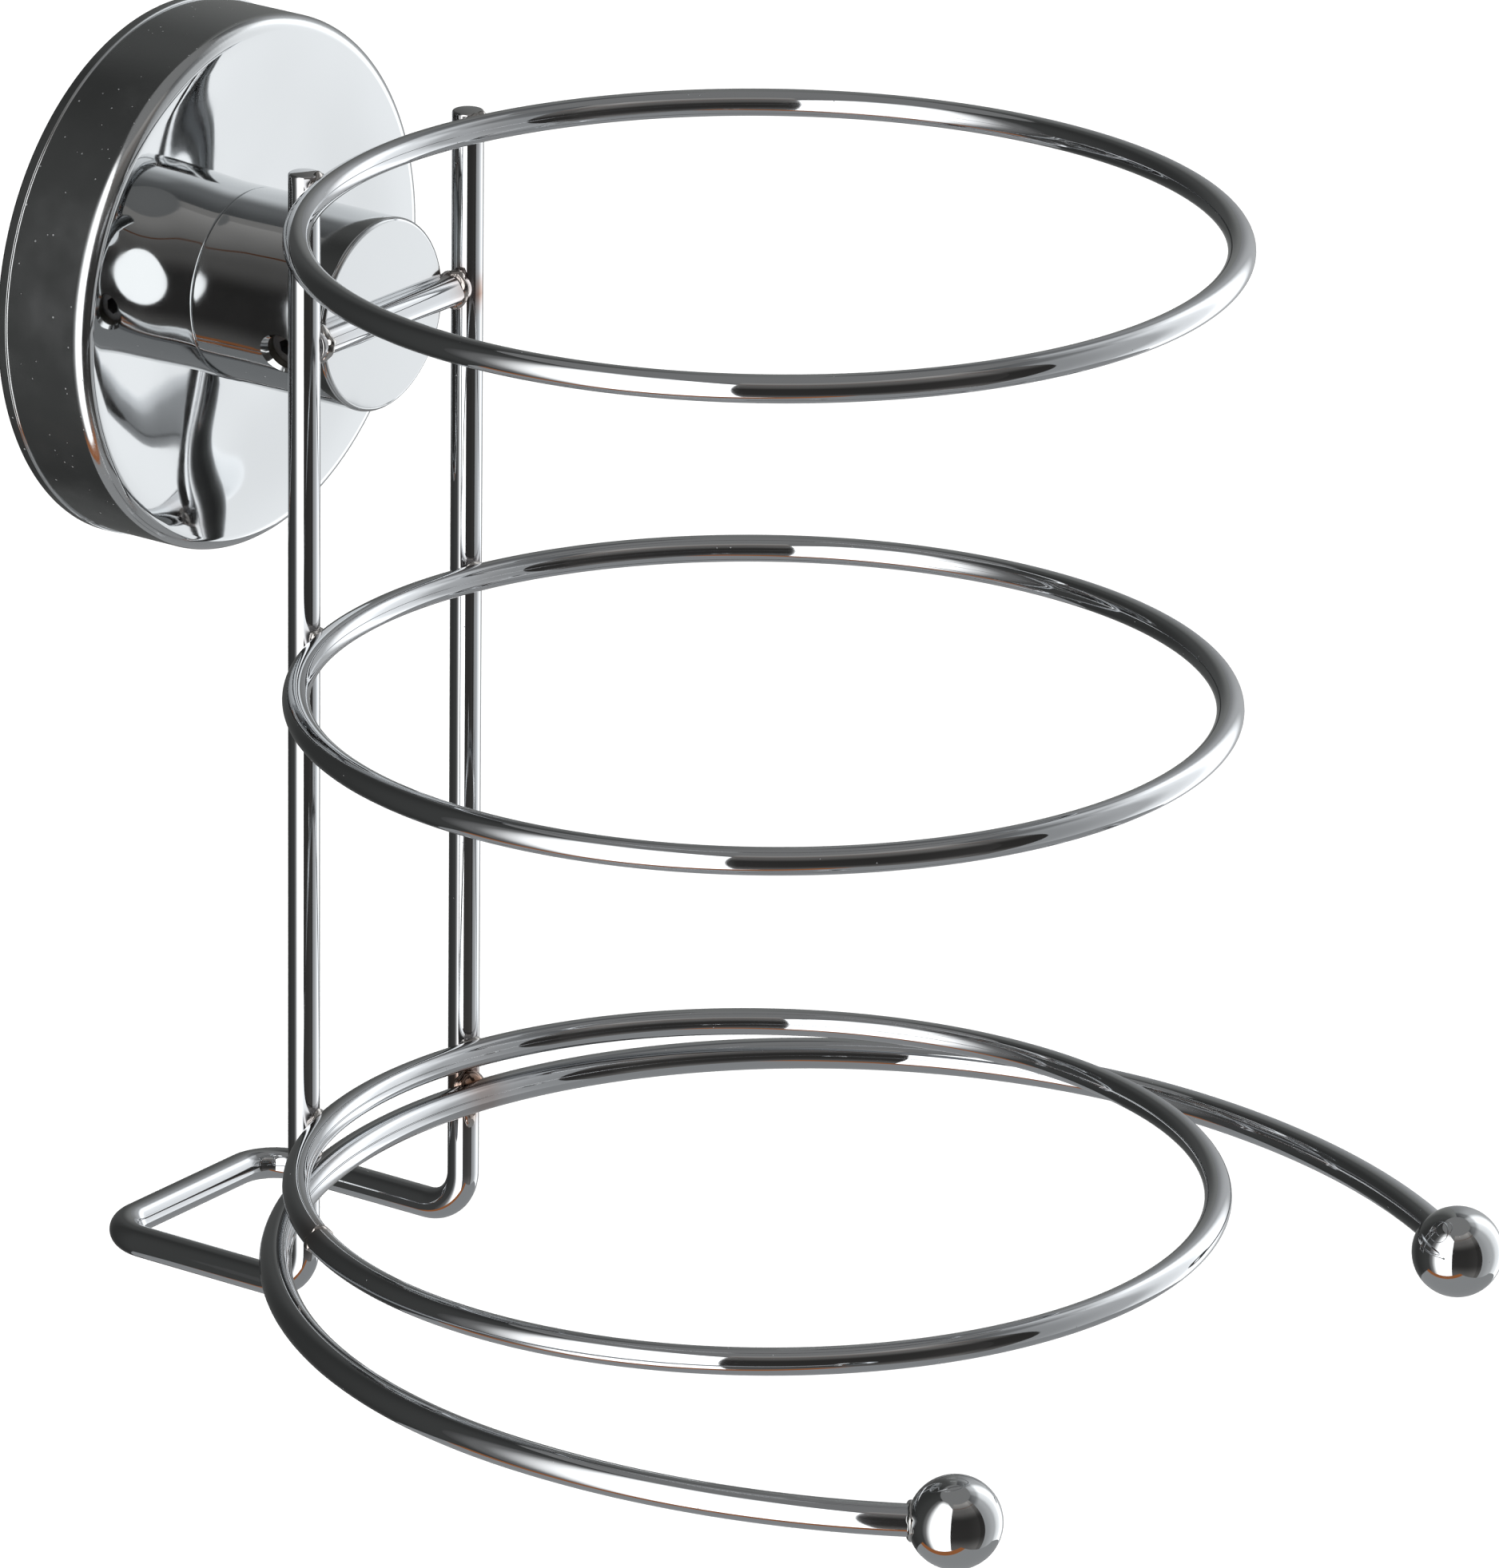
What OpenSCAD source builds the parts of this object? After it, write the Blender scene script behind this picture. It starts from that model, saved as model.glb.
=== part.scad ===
// Wall holder for a hair dryer: a chromed wire cage of three rings and a cord fork on two uprights,
// carried by a short sleeve that slides over a post on a wall plate and is clamped by a grub screw.
// The wall is the plane y = 0 and the holder stands out towards -Y. The post's axis is x = z = 0.

/* [Rings] */
// Centreline diameter of the three rings
ring_d = 100; // [84:1:130]
// Diameter of the ring wire
ring_wire = 3; // [2.4:0.1:4]
// Height of the top ring above the post's axis
top_ring_rise = 18.5; // [15:0.5:30]
// Distance from the top ring down to the middle ring
upper_ring_gap = 51.5; // [35:0.5:70]
// Distance from the middle ring down to the bottom ring
lower_ring_gap = 56; // [35:0.5:75]

/* [Frame wire] */
// Diameter of the frame wire and of the cross bar
frame_wire = 3.5; // [3:0.1:4.5]
// Distance between the centres of the two uprights
upright_gap = 29; // [26:0.5:40]
// Distance from the wall to the centres of the uprights
wall_standoff = 30; // [26:0.5:45]
// How far the uprights stand above the centre of the top ring
upright_overrun = 1.3; // [0:0.1:4]
// Distance from the bottom ring down to the foot of the frame
foot_drop = 20; // [14:0.5:40]
// Gap between the foot of the frame and the wall
foot_clearance = 0.5; // [0.2:0.1:2]
// Centreline radius of the frame wire's bends
bend_r = 5; // [4:0.25:7]
// How far a welded wire sinks into the wire it crosses
weld_set = 0.3; // [0.1:0.05:0.5]

/* [Cord fork] */
// Diameter of the fork wire
fork_wire = 3.5; // [3:0.1:4.5]
// Distance from the bottom ring down to the fork, at the uprights
fork_drop = 4.9; // [4:0.1:8]
// Slope of the fork down towards its open end, in degrees
fork_droop = 1.6; // [0:0.1:4]
// Centreline radius of the fork's back, which is a half circle
fork_back_r = 63; // [54:0.5:76]
// Centreline radius of the fork's arms
fork_arm_r = 76.5; // [60:0.5:110]
// Angle that each arm covers, to the wire's end inside the ball
fork_arm_sweep = 36.5; // [20:0.5:50]
// Diameter of the end balls
ball_d = 10; // [8:0.5:14]
// Depth of the hole in a ball
ball_socket = 4; // [2.5:0.25:5]

/* [Sleeve] */
// Outer diameter of the sleeve
sleeve_d = 21.5; // [20:0.5:24]
// How far the cross bar's axis stands in front of the sleeve's flat face
bar_proud = 0.4; // [0.2:0.1:1.4]
// Thickness of the sleeve's closed front
sleeve_front = 2.6; // [2.4:0.1:4]
// Chamfer round the sleeve's front edge
sleeve_chamfer = 0.5; // [0.2:0.1:1]
// Radial clearance between the post and the sleeve's bore
post_clearance = 0.05; // [0.02:0.01:0.1]
// Radial wall of the spigot that holds the rosette
spigot_wall = 1.9; // [1.5:0.1:2.5]
// Width of the swaged lip behind the rosette
lip_width = 1; // [0.6:0.1:1.5]
// Thickness of the swaged lip
lip_t = 0.8; // [0.5:0.1:1.2]

/* [Rosette] */
// Outer diameter of the rosette
rosette_d = 60; // [54:1:80]
// Depth of the rosette, from the wall to its flat face
rosette_depth = 12; // [10:0.5:15]
// Thickness of the rosette's sheet
rosette_sheet = 1; // [0.8:0.1:1.2]
// Outer radius of the rosette's rounded edge
rosette_edge = 1.6; // [1.3:0.1:4]

/* [Post and wall plate] */
// Diameter of the post
post_d = 12; // [10:0.5:13]
// Gap between the post's end and the bottom of the sleeve's bore
post_end_gap = 0.5; // [0.3:0.1:1]
// Depth of the flat that the grub screw bears on
post_flat = 0.7; // [0.4:0.1:1.2]
// Diameter of the post's foot flange
flange_d = 18; // [15:0.5:20]
// Thickness of the post's foot flange
flange_t = 2; // [1.5:0.1:2.5]
// Diameter of the wall plate
plate_d = 48; // [44:1:52]
// Thickness of the wall plate
plate_t = 3; // [2.5:0.1:4]
// Distance between the centres of the two wall screw holes
wall_hole_gap = 34; // [30:0.5:36]
// Diameter of the wall screw holes
wall_hole_d = 4.5; // [4:0.1:5.5]
// Nominal diameter of the countersunk screw that holds the post
post_screw_d = 5; // [4:0.5:6]
// Length of that screw
post_screw_length = 12; // [10:1:16]
// Width across the flats of that screw's hexagon socket
post_screw_hex = 3; // [2:0.25:3.5]
// Depth of that socket below the screw's flat end
post_screw_hex_depth = 2.25; // [1.5:0.25:2.5]

/* [Grub screw] */
// Nominal diameter of the grub screw
grub_d = 4; // [3:0.5:5]
// Length of the grub screw
grub_length = 4; // [3:0.5:4.5]
// Distance from the cross bar's axis back to the grub screw's axis
grub_setback = 6.6; // [5:0.1:8]
// Angle of the grub screw below the horizontal
grub_angle = 17; // [0:1:90]
// Width across the flats of the grub screw's hexagon socket
grub_hex = 2; // [1.5:0.1:2.5]
// Depth of the grub screw's socket
grub_hex_depth = 2; // [1.2:0.1:2]
// Diameter of the grub screw's flat point
grub_point_d = 2; // [1:0.1:2.5]
// Length of the taper that leads to the point
grub_point_length = 1; // [0.5:0.1:1]
// Radial clearance in the grub screw's hole
grub_clearance = 0.05; // [0.02:0.01:0.1]

/* [Hidden] */
$fn = 96;
overcut = 1;        // how far a cutting shape runs past the face that it opens

// Heights
top_ring_z = top_ring_rise;
middle_ring_z = top_ring_z - upper_ring_gap;
bottom_ring_z = middle_ring_z - lower_ring_gap;
foot_z = bottom_ring_z - foot_drop;
upright_top_z = top_ring_z + upright_overrun;
fork_z = bottom_ring_z - fork_drop;

// Places across and out from the wall
upright_x = upright_gap / 2;
upright_y = -wall_standoff;
foot_back_y = -(foot_clearance + frame_wire / 2);
// A round wire of centreline radius r lies against the front of both uprights: its centre's distance
// in front of them follows from the welded distance between the two centrelines
function seat(r, wire) = sqrt(pow(r + (wire + frame_wire) / 2 - weld_set, 2) - pow(upright_x, 2));
ring_y = upright_y - seat(ring_d / 2, ring_wire);
fork_seat = seat(fork_back_r, fork_wire);
arm_centre_x = fork_back_r - fork_arm_r;

// Sleeve and post, as distances out from the wall
sleeve_face = wall_standoff - bar_proud;
bore_bottom = sleeve_face - sleeve_front;
bore_d = post_d + 2 * post_clearance;
post_end = bore_bottom - post_end_gap;
spigot_d = bore_d + 2 * spigot_wall;
lip_d = spigot_d + 2 * lip_width;
spigot_start = rosette_depth - rosette_sheet;
lip_start = spigot_start - lip_t;
grub_out = wall_standoff - grub_setback;
flat_r = post_d / 2 - post_flat;
flat_length = post_end - grub_out + grub_d;

// Countersunk head of the post screw
screw_head_d = 2 * post_screw_d;
screw_head_t = post_screw_d / 2;
screw_sink = 0.2;

// Turns a shape whose axis is +Z so that the axis points out from the wall
module outward() rotate([90, 0, 0]) children();

// Turns a shape whose axis is +Z so that the axis points out along the grub screw
module along_grub() translate([0, -grub_out, 0]) rotate([0, -(90 + grub_angle), 0]) children();

// A flat arc of wire about the origin, from +X round through an angle
module wire_arc(r, wire, sweep) rotate_extrude(angle = sweep) translate([r, 0]) circle(d = wire);

module ring(z) translate([0, ring_y, z]) rotate_extrude() translate([ring_d / 2, 0]) circle(d = ring_wire);

module upright() translate([upright_x, upright_y, foot_z + bend_r])
    cylinder(h = upright_top_z - foot_z - bend_r, d = frame_wire);

module bar_rod() translate([-upright_x, upright_y, 0]) rotate([0, 90, 0])
    cylinder(h = upright_gap, d = frame_wire);

// Half of the frame: upright, bend, rail to the wall, corner and half of the back rail
module half_frame() {
    upright();
    translate([upright_x, upright_y + bend_r, foot_z + bend_r])
        rotate([0, 90, 0]) rotate([0, 0, -90]) wire_arc(bend_r, frame_wire, 90);
    translate([upright_x, upright_y + bend_r, foot_z]) rotate([-90, 0, 0])
        cylinder(h = foot_back_y - upright_y - 2 * bend_r, d = frame_wire);
    translate([upright_x - bend_r, foot_back_y - bend_r, foot_z]) wire_arc(bend_r, frame_wire, 90);
    translate([0, foot_back_y, foot_z]) rotate([0, 90, 0])
        cylinder(h = upright_x - bend_r, d = frame_wire);
}

// Places a shape of the fork's own plane, whose origin is the centre of the fork's back. The plane
// slopes down to the front from the uprights.
module fork_plane() translate([0, upright_y, fork_z]) rotate([fork_droop, 0, 0])
    translate([0, -fork_seat, 0]) children();

// The right arm runs on from the half circle with a wider curve, and ends inside its ball
module arm() translate([arm_centre_x, 0, 0]) wire_arc(fork_arm_r, fork_wire, -fork_arm_sweep);

module end_ball() difference() {
    translate([arm_centre_x, 0, 0]) rotate([0, 0, -fork_arm_sweep])
        translate([fork_arm_r, ball_socket - ball_d / 2, 0]) sphere(d = ball_d);
    arm();
}

// Outline of a cup of revolution, from its axis to its rounded edge
module cup_outline(r, depth, edge) {
    square([r - edge, depth]);
    square([r, depth - edge]);
    translate([r - edge, depth - edge]) circle(r = edge);
}

module wall_plate() color("gainsboro") outward() difference() {
    cylinder(h = plate_t, d = plate_d);
    for (side = [-1, 1]) translate([side * wall_hole_gap / 2, 0, -overcut])
        cylinder(h = plate_t + 2 * overcut, d = wall_hole_d);
    post_screw_shape();
}

module post() color("lightgray") outward() difference() {
    union() {
        translate([0, 0, plate_t]) cylinder(h = flange_t, d = flange_d);
        translate([0, 0, plate_t]) cylinder(h = post_end - plate_t, d = post_d);
    }
    post_screw_shape();
    rotate([0, 0, 180 + grub_angle]) translate([flat_r, -post_d / 2, post_end - flat_length])
        cube([post_d, post_d, flat_length + overcut]);
}

// The countersunk screw without its socket, which is also the shape of its hole
module post_screw_shape() {
    translate([0, 0, screw_sink]) cylinder(h = screw_head_t, d1 = screw_head_d, d2 = post_screw_d);
    translate([0, 0, screw_sink]) cylinder(h = post_screw_length, d = post_screw_d);
    translate([0, 0, -overcut]) cylinder(h = overcut + screw_sink, d = screw_head_d);
}

module post_screw() color("dimgray") outward() difference() {
    post_screw_shape();
    translate([0, 0, -2 * overcut]) cylinder(h = 2 * overcut + screw_sink, d = screw_head_d + overcut);
    translate([0, 0, -overcut])
        cylinder(h = post_screw_hex_depth + overcut, d = post_screw_hex / cos(30), $fn = 6);
}

module rosette() color("silver") outward() rotate_extrude() difference() {
    cup_outline(rosette_d / 2, rosette_depth, rosette_edge);
    translate([0, -overcut]) square([rosette_d / 2 - rosette_sheet, overcut]);
    cup_outline(rosette_d / 2 - rosette_sheet, rosette_depth - rosette_sheet, rosette_edge - rosette_sheet);
    square([spigot_d / 2, rosette_depth + overcut]);
}

module sleeve() color("silver") difference() {
    outward() difference() {
        union() {
            translate([0, 0, rosette_depth])
                cylinder(h = sleeve_face - sleeve_chamfer - rosette_depth, d = sleeve_d);
            translate([0, 0, sleeve_face - sleeve_chamfer])
                cylinder(h = sleeve_chamfer, d1 = sleeve_d, d2 = sleeve_d - 2 * sleeve_chamfer);
            translate([0, 0, lip_start]) cylinder(h = rosette_depth - lip_start, d = spigot_d);
            translate([0, 0, lip_start]) cylinder(h = lip_t, d = lip_d);
        }
        translate([0, 0, lip_start - overcut]) cylinder(h = bore_bottom - lip_start + overcut, d = bore_d);
    }
    bar_rod();
    along_grub() cylinder(h = sleeve_d, d = grub_d + 2 * grub_clearance);
}

module grub_screw() color("dimgray") along_grub() translate([0, 0, flat_r]) difference() {
    union() {
        cylinder(h = grub_point_length, d1 = grub_point_d, d2 = grub_d);
        translate([0, 0, grub_point_length]) cylinder(h = grub_length - grub_point_length, d = grub_d);
    }
    translate([0, 0, grub_length - grub_hex_depth])
        cylinder(h = grub_length, d = grub_hex / cos(30), $fn = 6);
}

module cross_bar() color("silver") difference() {
    bar_rod();
    for (side = [0, 1]) mirror([side, 0, 0]) upright();
}

module frame() color("silver") for (side = [0, 1]) mirror([side, 0, 0]) half_frame();

module top_ring() color("silver") ring(top_ring_z);

module middle_ring() color("silver") ring(middle_ring_z);

module bottom_ring() color("silver") ring(bottom_ring_z);

module fork() color("silver") fork_plane() {
    wire_arc(fork_back_r, fork_wire, 180);
    for (side = [0, 1]) mirror([side, 0, 0]) arm();
}

module ball_left() color("silver") fork_plane() mirror([1, 0, 0]) end_ball();

module ball_right() color("silver") fork_plane() end_ball();

wall_plate();
post();
post_screw();
rosette();
sleeve();
grub_screw();
cross_bar();
frame();
top_ring();
middle_ring();
bottom_ring();
fork();
ball_left();
ball_right();
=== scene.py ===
# %% [markdown]
# # A chromed wire holder for a hair dryer
#
# The real object hangs on a bathroom wall. A round cover, the rosette, hides a plate and a post, and a
# short turned sleeve slides over the post. The sleeve carries a cage of bent wire: two uprights, three
# rings that take the dryer's nozzle, and an open fork with two balls for the cord. Everything that
# shows is bright chrome.
#
# Chrome has almost no colour of its own. What the eye sees is the studio round it, so this lesson has
# two halves: smooth shapes with true roundings and welds, and a studio that is worth reflecting.

# %% [markdown]
# ## The frame
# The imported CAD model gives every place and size, in metres. The pieces made here stand for its nodes
# and ride on its bodies, so they move as the CAD parts do.

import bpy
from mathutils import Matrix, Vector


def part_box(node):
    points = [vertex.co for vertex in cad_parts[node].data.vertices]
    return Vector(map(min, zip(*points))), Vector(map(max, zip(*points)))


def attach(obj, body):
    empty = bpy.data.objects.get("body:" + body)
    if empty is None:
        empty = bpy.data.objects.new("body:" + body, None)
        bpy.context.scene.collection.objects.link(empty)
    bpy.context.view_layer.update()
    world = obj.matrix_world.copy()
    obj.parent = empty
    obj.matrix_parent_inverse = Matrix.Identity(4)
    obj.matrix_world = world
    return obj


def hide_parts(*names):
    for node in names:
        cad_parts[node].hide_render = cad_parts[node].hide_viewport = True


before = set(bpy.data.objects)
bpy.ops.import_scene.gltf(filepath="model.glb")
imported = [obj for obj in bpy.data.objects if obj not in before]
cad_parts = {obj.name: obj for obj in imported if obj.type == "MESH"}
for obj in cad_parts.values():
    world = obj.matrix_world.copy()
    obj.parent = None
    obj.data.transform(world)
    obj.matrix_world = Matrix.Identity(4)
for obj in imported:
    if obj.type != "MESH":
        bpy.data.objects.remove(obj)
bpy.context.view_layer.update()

# %%
import math

import bmesh
import bpy
from mathutils import Matrix, Vector, noise

MM = 0.001
SAME_PLACE = 0.001 * MM  # points closer than this are one point
X, Y, Z = Vector((1, 0, 0)), Vector((0, 1, 0)), Vector((0, 0, 1))


def size_and_middle(node):
    low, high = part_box(node)
    return high - low, (high + low) / 2


for node in sorted(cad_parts):
    size, middle = size_and_middle(node)
    print(node, [round(v / MM, 2) for v in size], "at", [round(v / MM, 2) for v in middle])

# %% [markdown]
# ## The camera
# The object is seen from the left and a little above, from about a metre and a half, with a long lens.
# A long lens from far away keeps the rings nearly parallel in the picture. The camera's own axes are
# the columns of its matrix: right, up and back.

# %% Camera
def add_object(name, data):
    obj = bpy.data.objects.new(name, data)
    bpy.context.scene.collection.objects.link(obj)
    return obj


CAMERA_AZIMUTH = math.radians(-54.206)
CAMERA_ELEVATION = math.radians(19.916)
CAMERA_ROLL = math.radians(0.708)
CAMERA_PLACE = Vector((-1.1066564, -0.8772104, 0.4513320))

level = Vector((math.cos(CAMERA_AZIMUTH), math.sin(CAMERA_AZIMUTH), 0))
back = Vector((math.sin(CAMERA_AZIMUTH) * math.cos(CAMERA_ELEVATION),
               -math.cos(CAMERA_AZIMUTH) * math.cos(CAMERA_ELEVATION), math.sin(CAMERA_ELEVATION)))
turn = Matrix.Rotation(CAMERA_ROLL, 3, back)
right, up = turn @ level, turn @ back.cross(level)

camera = add_object("camera", bpy.data.cameras.new("camera"))
camera.matrix_world = Matrix.Translation(CAMERA_PLACE) @ Matrix((right, up, back)).transposed().to_4x4()
camera.data.sensor_width = 36
camera.data.lens = 310.24
camera.data.clip_start, camera.data.clip_end = 0.05, 50
bpy.context.scene.camera = camera
bpy.context.scene.view_settings.view_transform = "Standard"
print("camera", [round(v, 3) for v in camera.location], "lens", camera.data.lens)

# %% [markdown]
# ## Nodes and colours
# One small function adds a node: a value that is a socket is linked, anything else is typed in. An
# input called _0 is found by its number, because some nodes have several inputs of one name. Another
# function turns an sRGB hex colour to the linear numbers that Blender's shaders work in.

# %%
def linear(hex_colour):
    channels = [int(hex_colour[i:i + 2], 16) / 255 for i in (1, 3, 5)]
    return [c / 12.92 if c <= 0.04045 else ((c + 0.055) / 1.055) ** 2.4 for c in channels] + [1.0]


def add(tree, kind, settings=None, **inputs):
    node = tree.nodes.new("ShaderNode" + kind)
    for name, value in (settings or {}).items():
        setattr(node, name, value)
    for name, value in inputs.items():
        socket = node.inputs[int(name[1:])] if name[1:].isdigit() else node.inputs[name.replace("_", " ")]
        if isinstance(value, bpy.types.NodeSocket):
            tree.links.new(value, socket)
        else:
            socket.default_value = value
    return node


def new_material(name):
    material = bpy.data.materials.new(name)
    material.use_nodes = True
    tree = material.node_tree
    tree.nodes.clear()
    return material, tree


print("mid grey #808080 is", round(linear("#808080")[0], 3))

# %% [markdown]
# ## The studio
# Chrome is lit with large surfaces: a tall softbox on the left gives the broad white band on each wire,
# a white board on the right gives the pale side, and dark boards between them give the black lines that
# draw the shape. Each is a piece of one tall drum round the object. The boards only show in
# reflections, so the camera looks straight through them to the pale floor. A thin wooden batten hangs
# in front of the dark board, for a single warm line.

# %% Studio boards
STUDIO_MIDDLE = Vector((0, -0.08, 0))
STUDIO_R = 0.5
FLOOR_Z = -0.9
BOARD_TOP = 0.8
# angles on the drum, in degrees clockwise from the wall's direction
SOFTBOX_START, BACK_START, RIGHT_START, RIGHT_END = -118, -50, 60, 168
FRONT_START = -192
SLANT_DEGREES = 25  # how far a slanted top corner reaches along its board
FRONT_BOTTOM = FLOOR_Z + 0.3
BATTEN_LOW, BATTEN_HIGH, BATTEN_GAP = 0.45, 0.466, 0.002


def fade(tree, value, stops):
    """A number that runs smoothly through the (value, number) stops."""
    total = stops[0][1]
    for (start, low), (end, high) in zip(stops, stops[1:]):
        step = add(tree, "MapRange", {"interpolation_type": "SMOOTHSTEP"}, Value=value,
                   From_Min=start, From_Max=end, To_Min=0.0, To_Max=high - low)
        total = add(tree, "Math", _0=total, _1=step.outputs[0]).outputs[0]
    return total


def glow_material(name, colour, round_stops, height_stops=()):
    """A glowing board: strengths at angles in degrees, and factors at heights in metres."""
    material, tree = new_material(name)
    place = add(tree, "TexCoord").outputs["Object"]
    place = add(tree, "VectorMath", {"operation": "SUBTRACT"}, _0=place, _1=STUDIO_MIDDLE).outputs[0]
    parts = add(tree, "SeparateXYZ", Vector=place)
    angle = add(tree, "Math", {"operation": "ARCTAN2"}, _0=parts.outputs["X"], _1=parts.outputs["Y"])
    strength = fade(tree, angle.outputs[0], [(math.radians(a), s) for a, s in round_stops])
    if height_stops:
        factor = fade(tree, parts.outputs["Z"], height_stops)
        strength = add(tree, "Math", {"operation": "MULTIPLY"}, _0=strength, _1=factor).outputs[0]
    glow = add(tree, "Emission", Color=linear(colour), Strength=strength)
    add(tree, "OutputMaterial", Surface=glow.outputs[0])
    return material


def to_mesh(name, bm):
    mesh = bpy.data.meshes.new(name)
    bm.to_mesh(mesh)
    bm.free()
    return mesh


def only_in_reflections(obj):
    obj.visible_camera = False
    obj.visible_shadow = False
    obj.visible_diffuse = False
    obj.visible_transmission = False


def board(name, start, end, low, high, material, radius=STUDIO_R, corner_cut=0.0):
    """Part of the drum: angles in degrees, heights in metres. corner_cut lowers the top at the start,
    so that the board ends in a slanted corner."""
    bm = bmesh.new()
    a = math.radians(start)
    foot = STUDIO_MIDDLE + radius * Vector((math.sin(a), math.cos(a), 0))
    ends = [bm.verts.new(foot + z * Z) for z in (low, high)]
    edge = bm.edges.new(ends)
    bmesh.ops.spin(bm, geom=ends + [edge], cent=STUDIO_MIDDLE, axis=-Z, dvec=(0, 0, 0),
                   angle=math.radians(end - start), steps=48, use_merge=False)
    for v in bm.verts:
        if v.co.z > high - 0.001:
            turned = math.degrees(math.atan2(v.co.x - STUDIO_MIDDLE.x, v.co.y - STUDIO_MIDDLE.y)) - start
            v.co.z -= corner_cut * max(0.0, 1 - turned / SLANT_DEGREES)
    mesh = to_mesh(name, bm)
    mesh.materials.append(material)
    obj = add_object(name, mesh)
    only_in_reflections(obj)


# how strongly each board glows: (angle in degrees, strength), then (height in metres, factor)
SOFTBOX = [(-82, 2.4), (-58, 0.2), (-50, 0.09)]
SOFTBOX_HEIGHTS = [(0.5, 1.0), (0.8, 0.3)]
WHITE_BOARD = [(60, 0.3), (84, 0.6), (98, 1.9), (108, 1.9), (119, 1.35), (126, 1.2), (140, 0.62), (166, 0.42)]
WHITE_HEIGHTS = [(0.3, 1.0), (0.5, 0.45), (0.8, 0.3)]
GREY_BOARD = [(-50, 0.075), (0, 0.05), (35, 0.1), (60, 0.28)]
BLACK_BOARD = [(-192, 0.055), (-150, 0.038)]
BLACK_HEIGHTS = [(-0.5, 4.0), (-0.22, 1.1), (0.08, 1.0), (0.3, 4.0), (0.75, 10.0)]
BATTEN = [(-192, 0.3), (-150, 0.3)]

board("softbox_left", SOFTBOX_START, BACK_START, FLOOR_Z, BOARD_TOP,
      glow_material("softbox", "#ffffff", SOFTBOX, SOFTBOX_HEIGHTS), corner_cut=0.36)
board("board_right", RIGHT_START, RIGHT_END, FLOOR_Z, BOARD_TOP,
      glow_material("white board", "#fbfdff", WHITE_BOARD, WHITE_HEIGHTS))
board("board_back", BACK_START, RIGHT_START, FLOOR_Z, BOARD_TOP,
      glow_material("grey board", "#f4f6f4", GREY_BOARD))
board("board_front", FRONT_START, SOFTBOX_START, FRONT_BOTTOM, BOARD_TOP,
      glow_material("black board", "#fffaf6", BLACK_BOARD, BLACK_HEIGHTS))
board("batten", FRONT_START, SOFTBOX_START, BATTEN_LOW, BATTEN_HIGH,
      glow_material("wooden batten", "#b07048", BATTEN), radius=STUDIO_R - BATTEN_GAP)

# %% [markdown]
# Under the object lies a grey sheet with a strip of bare wood at its left end. It keeps the undersides of
# the wires grey, so that they stay apart from the white floor, and the wood gives a few warm lines.

# %% Table sheet
TABLE_Z = -0.42
TABLE_Y, TABLE_HALF_DEPTH = -0.1, 0.34
# name, colour, strength, left edge, width
for name, colour, strength, left, wide in (("table_sheet", "#eef0f2", 0.4, -0.20, 0.75),
                                           ("table_wood", "#c07a4c", 0.75, -0.29, 0.09)):
    bm = bmesh.new()
    half_size = Matrix.Diagonal((wide / 2, TABLE_HALF_DEPTH, 1, 1))
    bmesh.ops.create_grid(bm, x_segments=1, y_segments=1, size=1,
                          matrix=Matrix.Translation((left + wide / 2, TABLE_Y, TABLE_Z)) @ half_size)
    mesh = to_mesh(name, bm)
    mesh.materials.append(glow_material(name, colour, [(0, strength), (1, strength)]))
    obj = add_object(name, mesh)
    only_in_reflections(obj)

# %% Floor, overhead light and the room's own grey
bm = bmesh.new()
bmesh.ops.create_grid(bm, x_segments=1, y_segments=1, size=20, matrix=Matrix.Translation((0, 0, FLOOR_Z)))
floor = add_object("floor", to_mesh("floor", bm))
paper, tree = new_material("white paper")
shader = add(tree, "BsdfPrincipled", Base_Color=linear("#f4f4f4"), Roughness=0.9)
add(tree, "OutputMaterial", Surface=shader.outputs[0])
floor.data.materials.append(paper)

# a soft light from above that evens out the paper and doesn't show in the chrome
overhead = add_object("overhead", bpy.data.lights.new("overhead", "SUN"))
overhead.data.energy, overhead.data.angle = 3.6, math.radians(60)
overhead.visible_glossy = False

world = bpy.data.worlds.new("room")
bpy.context.scene.world = world
world.use_nodes = True
tree = world.node_tree
tree.nodes.clear()
height = add(tree, "SeparateXYZ", Vector=add(tree, "TexCoord").outputs["Generated"]).outputs["Z"]
grey = add(tree, "MapRange", {"interpolation_type": "SMOOTHSTEP"}, Value=height, From_Min=0.3, From_Max=0.95,
           To_Min=0.06, To_Max=0.26)
sky = add(tree, "Background", Color=linear("#ffffff"), Strength=grey.outputs["Result"])
add(tree, "OutputWorld", Surface=sky.outputs[0])

# %% [markdown]
# ## Bright chrome
# Decorative chrome is a very thin, slightly blue metal over polished nickel. It is nearly a mirror. On
# cheap wire goods the mirror is never perfect: the drawn wire keeps faint ripples, the plating has tiny
# pits, and near a weld the heat leaves a straw-brown tint under the bright layer. The tint follows a
# "weld_heat" value that each piece carries on its points.

# %% Chrome materials
HEAT_BROWN = "#8a5426"
HAZE_MM = 6.0
PIT_ROUGHNESS = 0.85
SMOOTH_CELLS = 0.75  # the share of cells without a pit


def object_noise(tree, grain_mm, detail=2.0, stretch=(1, 1, 1)):
    """Noise on the piece's own coordinates whose lumps are about grain_mm wide."""
    place = add(tree, "TexCoord").outputs["Object"]
    scaled = add(tree, "Mapping", Vector=place, Scale=[s / (grain_mm * MM) for s in stretch])
    return add(tree, "TexNoise", Vector=scaled.outputs[0], Scale=1.0, Detail=detail, Roughness=0.5)


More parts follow.
